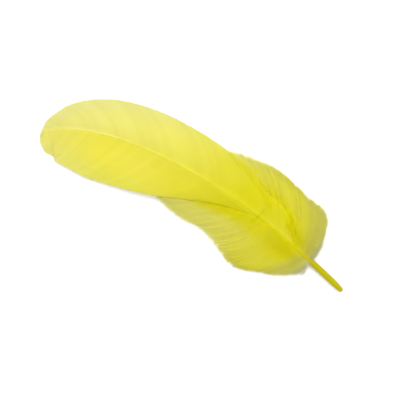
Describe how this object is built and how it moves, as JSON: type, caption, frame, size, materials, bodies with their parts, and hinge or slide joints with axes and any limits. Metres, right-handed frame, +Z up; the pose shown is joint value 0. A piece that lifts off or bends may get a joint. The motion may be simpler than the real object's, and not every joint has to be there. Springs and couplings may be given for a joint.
{
  "type": "goose quill feather",
  "caption": "Curved contour feather with a bare quill, a closed two-sided vane and loose down at its base, lying on a flat surface.",
  "frame": {"origin": "middle of the feather's box, on the surface that it lies on", "axes": "+X from the quill's tip to the vane's tip, +Z up from the surface, +Y to the feather's left seen from above"},
  "size_m": [0.1718, 0.0544, 0.0095],
  "materials": {
    "vane": "satin dyed barbs, slightly translucent",
    "down": "matte dyed down",
    "shaft": "smooth dyed horn"
  },
  "bodies": {
    "root": {"feather": "vane"}
  },
  "joints": []
}
